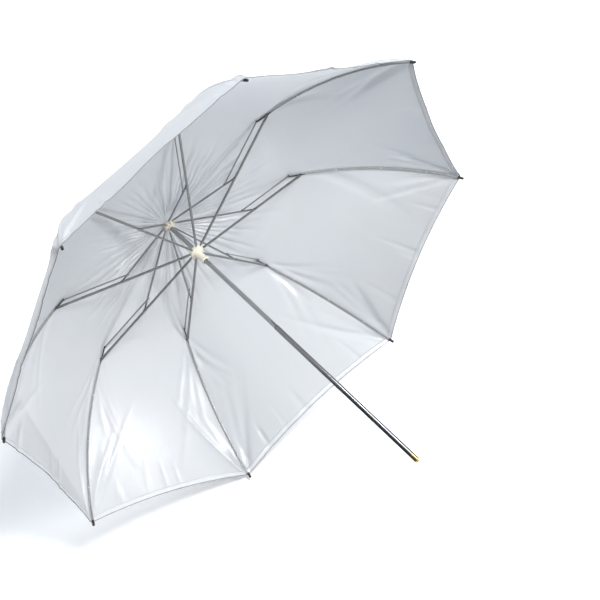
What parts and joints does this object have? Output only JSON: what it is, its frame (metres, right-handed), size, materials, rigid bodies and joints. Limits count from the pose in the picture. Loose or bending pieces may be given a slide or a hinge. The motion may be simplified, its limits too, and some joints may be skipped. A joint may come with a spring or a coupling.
{
  "type": "umbrella reflector",
  "caption": "Folding studio umbrella with a white satin canopy, two-fold steel ribs, a sliding runner and a telescoping tube shaft.",
  "frame": {"origin": "on the lower tube's axis, 120 mm from its end, where a stand bracket grips the shaft", "axes": "+Y along the shaft towards the crown, +Z towards the eighth rib's tip, +X towards the second rib's tip"},
  "size_m": [0.9782, 0.6688, 0.9782],
  "materials": {
    "ivory_plastic": "satin moulded plastic",
    "tube_chrome": "polished",
    "tube_satin_steel": "satin",
    "rib_steel": "dark satin coating",
    "spring_steel": "satin",
    "cap_brass": "polished",
    "black_plastic": "satin",
    "white_satin": "translucent satin weave"
  },
  "bodies": {
    "shaft_lower": {"lower_tube": "tube_chrome", "end_cap": "cap_brass"},
    "shaft_upper": {"upper_tube": "tube_satin_steel", "crown_hub": "ivory_plastic", "crown_wire": "spring_steel", "crown_washer": "white_satin", "crown_cap": "black_plastic", "canopy_gore_1": "white_satin", "canopy_gore_2": "white_satin", "canopy_gore_3": "white_satin", "canopy_gore_4": "white_satin", "canopy_gore_5": "white_satin", "canopy_gore_6": "white_satin", "canopy_gore_7": "white_satin", "canopy_gore_8": "white_satin"},
    "runner_catch": {"runner_catch": "spring_steel"},
    "shaft_catch": {"shaft_catch": "spring_steel"},
    "runner": {"runner": "ivory_plastic", "runner_wire": "spring_steel"},
    "stretcher_1": {"stretcher_1": "rib_steel"},
    "top_rib_1": {"top_rib_1": "rib_steel"},
    "link_1": {"link_1": "spring_steel"},
    "outer_rib_1": {"outer_rib_1": "rib_steel", "tip_1": "black_plastic"},
    "stretcher_2": {"stretcher_2": "rib_steel"},
    "top_rib_2": {"top_rib_2": "rib_steel"},
    "link_2": {"link_2": "spring_steel"},
    "outer_rib_2": {"outer_rib_2": "rib_steel", "tip_2": "black_plastic"},
    "stretcher_3": {"stretcher_3": "rib_steel"},
    "top_rib_3": {"top_rib_3": "rib_steel"},
    "link_3": {"link_3": "spring_steel"},
    "outer_rib_3": {"outer_rib_3": "rib_steel", "tip_3": "black_plastic"},
    "stretcher_4": {"stretcher_4": "rib_steel"},
    "top_rib_4": {"top_rib_4": "rib_steel"},
    "link_4": {"link_4": "spring_steel"},
    "outer_rib_4": {"outer_rib_4": "rib_steel", "tip_4": "black_plastic"},
    "stretcher_5": {"stretcher_5": "rib_steel"},
    "top_rib_5": {"top_rib_5": "rib_steel"},
    "link_5": {"link_5": "spring_steel"},
    "outer_rib_5": {"outer_rib_5": "rib_steel", "tip_5": "black_plastic"},
    "stretcher_6": {"stretcher_6": "rib_steel"},
    "top_rib_6": {"top_rib_6": "rib_steel"},
    "link_6": {"link_6": "spring_steel"},
    "outer_rib_6": {"outer_rib_6": "rib_steel", "tip_6": "black_plastic"},
    "stretcher_7": {"stretcher_7": "rib_steel"},
    "top_rib_7": {"top_rib_7": "rib_steel"},
    "link_7": {"link_7": "spring_steel"},
    "outer_rib_7": {"outer_rib_7": "rib_steel", "tip_7": "black_plastic"},
    "stretcher_8": {"stretcher_8": "rib_steel"},
    "top_rib_8": {"top_rib_8": "rib_steel"},
    "link_8": {"link_8": "spring_steel"},
    "outer_rib_8": {"outer_rib_8": "rib_steel", "tip_8": "black_plastic"}
  },
  "joints": [
    {"name": "shaft_telescope", "type": "slide", "parent": "shaft_lower", "child": "shaft_upper", "axis": [0, -1, 0], "range_m": [0, 0.292], "deforming": ["shaft_catch"]},
    {"name": "runner_slide", "type": "slide", "parent": "shaft_upper", "child": "runner", "axis": [0, -1, 0], "range_m": [0, 0.19669], "deforming": ["canopy_gore_1", "canopy_gore_2", "canopy_gore_3", "canopy_gore_4", "canopy_gore_5", "canopy_gore_6", "canopy_gore_7", "canopy_gore_8", "runner_catch", "shaft_catch"]},
    {"name": "runner_catch_press", "type": "slide", "parent": "shaft_upper", "child": "runner_catch", "axis": [0, 0, -1], "range_m": [0, 0.0011], "stiffness_N_per_m": 1500, "springref_m": -0.0005},
    {"name": "shaft_catch_press", "type": "slide", "parent": "shaft_upper", "child": "shaft_catch", "axis": [0, 0, -1], "range_m": [0, 0.0011], "stiffness_N_per_m": 1500, "springref_m": -0.0005},
    {"name": "stretcher_1_hinge", "type": "hinge", "parent": "runner", "child": "stretcher_1", "pos_m": [0.00707, 0.459, 0.00707], "axis": [0.7071, 0, -0.7071], "range_deg": [-72, 0]},
    {"name": "top_rib_1_hinge", "type": "hinge", "parent": "stretcher_1", "child": "top_rib_1", "pos_m": [0.10081, 0.47947, 0.10081], "axis": [0.7071, 0, -0.7071], "range_deg": [0, 128.7]},
    {"name": "outer_rib_1_hinge", "type": "hinge", "parent": "stretcher_1", "child": "outer_rib_1", "pos_m": [0.18558, 0.49797, 0.18558], "axis": [0.7071, 0, -0.7071], "range_deg": [0, 128.7]},
    {"name": "link_1_hinge", "type": "hinge", "parent": "top_rib_1", "child": "link_1", "pos_m": [0.08663, 0.48852, 0.08663], "axis": [0.7071, 0, -0.7071], "range_deg": [-128.7, 0]},
    {"name": "stretcher_2_hinge", "type": "hinge", "parent": "runner", "child": "stretcher_2", "pos_m": [0.01, 0.459, 0], "axis": [0, 0, -1], "range_deg": [-72, 0]},
    {"name": "top_rib_2_hinge", "type": "hinge", "parent": "stretcher_2", "child": "top_rib_2", "pos_m": [0.14257, 0.47947, 0], "axis": [0, 0, -1], "range_deg": [0, 128.7]},
    {"name": "outer_rib_2_hinge", "type": "hinge", "parent": "stretcher_2", "child": "outer_rib_2", "pos_m": [0.26245, 0.49797, 0], "axis": [0, 0, -1], "range_deg": [0, 128.7]},
    {"name": "link_2_hinge", "type": "hinge", "parent": "top_rib_2", "child": "link_2", "pos_m": [0.12252, 0.48852, 0], "axis": [0, 0, -1], "range_deg": [-128.7, 0]},
    {"name": "stretcher_3_hinge", "type": "hinge", "parent": "runner", "child": "stretcher_3", "pos_m": [0.00707, 0.459, -0.00707], "axis": [-0.7071, 0, -0.7071], "range_deg": [-72, 0]},
    {"name": "top_rib_3_hinge", "type": "hinge", "parent": "stretcher_3", "child": "top_rib_3", "pos_m": [0.10081, 0.47947, -0.10081], "axis": [-0.7071, 0, -0.7071], "range_deg": [0, 128.7]},
    {"name": "outer_rib_3_hinge", "type": "hinge", "parent": "stretcher_3", "child": "outer_rib_3", "pos_m": [0.18558, 0.49797, -0.18558], "axis": [-0.7071, 0, -0.7071], "range_deg": [0, 128.7]},
    {"name": "link_3_hinge", "type": "hinge", "parent": "top_rib_3", "child": "link_3", "pos_m": [0.08663, 0.48852, -0.08663], "axis": [-0.7071, 0, -0.7071], "range_deg": [-128.7, 0]},
    {"name": "stretcher_4_hinge", "type": "hinge", "parent": "runner", "child": "stretcher_4", "pos_m": [0, 0.459, -0.01], "axis": [-1, 0, 0], "range_deg": [-72, 0]},
    {"name": "top_rib_4_hinge", "type": "hinge", "parent": "stretcher_4", "child": "top_rib_4", "pos_m": [0, 0.47947, -0.14257], "axis": [-1, 0, 0], "range_deg": [0, 128.7]},
    {"name": "outer_rib_4_hinge", "type": "hinge", "parent": "stretcher_4", "child": "outer_rib_4", "pos_m": [0, 0.49797, -0.26245], "axis": [-1, 0, 0], "range_deg": [0, 128.7]},
    {"name": "link_4_hinge", "type": "hinge", "parent": "top_rib_4", "child": "link_4", "pos_m": [0, 0.48852, -0.12252], "axis": [-1, 0, 0], "range_deg": [-128.7, 0]},
    {"name": "stretcher_5_hinge", "type": "hinge", "parent": "runner", "child": "stretcher_5", "pos_m": [-0.00707, 0.459, -0.00707], "axis": [-0.7071, 0, 0.7071], "range_deg": [-72, 0]},
    {"name": "top_rib_5_hinge", "type": "hinge", "parent": "stretcher_5", "child": "top_rib_5", "pos_m": [-0.10081, 0.47947, -0.10081], "axis": [-0.7071, 0, 0.7071], "range_deg": [0, 128.7]},
    {"name": "outer_rib_5_hinge", "type": "hinge", "parent": "stretcher_5", "child": "outer_rib_5", "pos_m": [-0.18558, 0.49797, -0.18558], "axis": [-0.7071, 0, 0.7071], "range_deg": [0, 128.7]},
    {"name": "link_5_hinge", "type": "hinge", "parent": "top_rib_5", "child": "link_5", "pos_m": [-0.08663, 0.48852, -0.08663], "axis": [-0.7071, 0, 0.7071], "range_deg": [-128.7, 0]},
    {"name": "stretcher_6_hinge", "type": "hinge", "parent": "runner", "child": "stretcher_6", "pos_m": [-0.01, 0.459, 0], "axis": [0, 0, 1], "range_deg": [-72, 0]},
    {"name": "top_rib_6_hinge", "type": "hinge", "parent": "stretcher_6", "child": "top_rib_6", "pos_m": [-0.14257, 0.47947, 0], "axis": [0, 0, 1], "range_deg": [0, 128.7]},
    {"name": "outer_rib_6_hinge", "type": "hinge", "parent": "stretcher_6", "child": "outer_rib_6", "pos_m": [-0.26245, 0.49797, 0], "axis": [0, 0, 1], "range_deg": [0, 128.7]},
    {"name": "link_6_hinge", "type": "hinge", "parent": "top_rib_6", "child": "link_6", "pos_m": [-0.12252, 0.48852, 0], "axis": [0, 0, 1], "range_deg": [-128.7, 0]},
    {"name": "stretcher_7_hinge", "type": "hinge", "parent": "runner", "child": "stretcher_7", "pos_m": [-0.00707, 0.459, 0.00707], "axis": [0.7071, 0, 0.7071], "range_deg": [-72, 0]},
    {"name": "top_rib_7_hinge", "type": "hinge", "parent": "stretcher_7", "child": "top_rib_7", "pos_m": [-0.10081, 0.47947, 0.10081], "axis": [0.7071, 0, 0.7071], "range_deg": [0, 128.7]},
    {"name": "outer_rib_7_hinge", "type": "hinge", "parent": "stretcher_7", "child": "outer_rib_7", "pos_m": [-0.18558, 0.49797, 0.18558], "axis": [0.7071, 0, 0.7071], "range_deg": [0, 128.7]},
    {"name": "link_7_hinge", "type": "hinge", "parent": "top_rib_7", "child": "link_7", "pos_m": [-0.08663, 0.48852, 0.08663], "axis": [0.7071, 0, 0.7071], "range_deg": [-128.7, 0]},
    {"name": "stretcher_8_hinge", "type": "hinge", "parent": "runner", "child": "stretcher_8", "pos_m": [0, 0.459, 0.01], "axis": [1, 0, 0], "range_deg": [-72, 0]},
    {"name": "top_rib_8_hinge", "type": "hinge", "parent": "stretcher_8", "child": "top_rib_8", "pos_m": [0, 0.47947, 0.14257], "axis": [1, 0, 0], "range_deg": [0, 128.7]},
    {"name": "outer_rib_8_hinge", "type": "hinge", "parent": "stretcher_8", "child": "outer_rib_8", "pos_m": [0, 0.49797, 0.26245], "axis": [1, 0, 0], "range_deg": [0, 128.7]},
    {"name": "link_8_hinge", "type": "hinge", "parent": "top_rib_8", "child": "link_8", "pos_m": [0, 0.48852, 0.12252], "axis": [1, 0, 0], "range_deg": [-128.7, 0]}
  ],
  "couplings": [
    {"joint": "stretcher_1_hinge", "follows": "runner_slide", "rad_per_m": -6.3885},
    {"joint": "top_rib_1_hinge", "follows": "runner_slide", "rad_per_m": 11.42},
    {"joint": "outer_rib_1_hinge", "follows": "runner_slide", "rad_per_m": 11.42},
    {"joint": "link_1_hinge", "follows": "runner_slide", "rad_per_m": -11.42},
    {"joint": "stretcher_2_hinge", "follows": "runner_slide", "rad_per_m": -6.3885},
    {"joint": "top_rib_2_hinge", "follows": "runner_slide", "rad_per_m": 11.42},
    {"joint": "outer_rib_2_hinge", "follows": "runner_slide", "rad_per_m": 11.42},
    {"joint": "link_2_hinge", "follows": "runner_slide", "rad_per_m": -11.42},
    {"joint": "stretcher_3_hinge", "follows": "runner_slide", "rad_per_m": -6.3885},
    {"joint": "top_rib_3_hinge", "follows": "runner_slide", "rad_per_m": 11.42},
    {"joint": "outer_rib_3_hinge", "follows": "runner_slide", "rad_per_m": 11.42},
    {"joint": "link_3_hinge", "follows": "runner_slide", "rad_per_m": -11.42},
    {"joint": "stretcher_4_hinge", "follows": "runner_slide", "rad_per_m": -6.3885},
    {"joint": "top_rib_4_hinge", "follows": "runner_slide", "rad_per_m": 11.42},
    {"joint": "outer_rib_4_hinge", "follows": "runner_slide", "rad_per_m": 11.42},
    {"joint": "link_4_hinge", "follows": "runner_slide", "rad_per_m": -11.42},
    {"joint": "stretcher_5_hinge", "follows": "runner_slide", "rad_per_m": -6.3885},
    {"joint": "top_rib_5_hinge", "follows": "runner_slide", "rad_per_m": 11.42},
    {"joint": "outer_rib_5_hinge", "follows": "runner_slide", "rad_per_m": 11.42},
    {"joint": "link_5_hinge", "follows": "runner_slide", "rad_per_m": -11.42},
    {"joint": "stretcher_6_hinge", "follows": "runner_slide", "rad_per_m": -6.3885},
    {"joint": "top_rib_6_hinge", "follows": "runner_slide", "rad_per_m": 11.42},
    {"joint": "outer_rib_6_hinge", "follows": "runner_slide", "rad_per_m": 11.42},
    {"joint": "link_6_hinge", "follows": "runner_slide", "rad_per_m": -11.42},
    {"joint": "stretcher_7_hinge", "follows": "runner_slide", "rad_per_m": -6.3885},
    {"joint": "top_rib_7_hinge", "follows": "runner_slide", "rad_per_m": 11.42},
    {"joint": "outer_rib_7_hinge", "follows": "runner_slide", "rad_per_m": 11.42},
    {"joint": "link_7_hinge", "follows": "runner_slide", "rad_per_m": -11.42},
    {"joint": "stretcher_8_hinge", "follows": "runner_slide", "rad_per_m": -6.3885},
    {"joint": "top_rib_8_hinge", "follows": "runner_slide", "rad_per_m": 11.42},
    {"joint": "outer_rib_8_hinge", "follows": "runner_slide", "rad_per_m": 11.42},
    {"joint": "link_8_hinge", "follows": "runner_slide", "rad_per_m": -11.42}
  ]
}
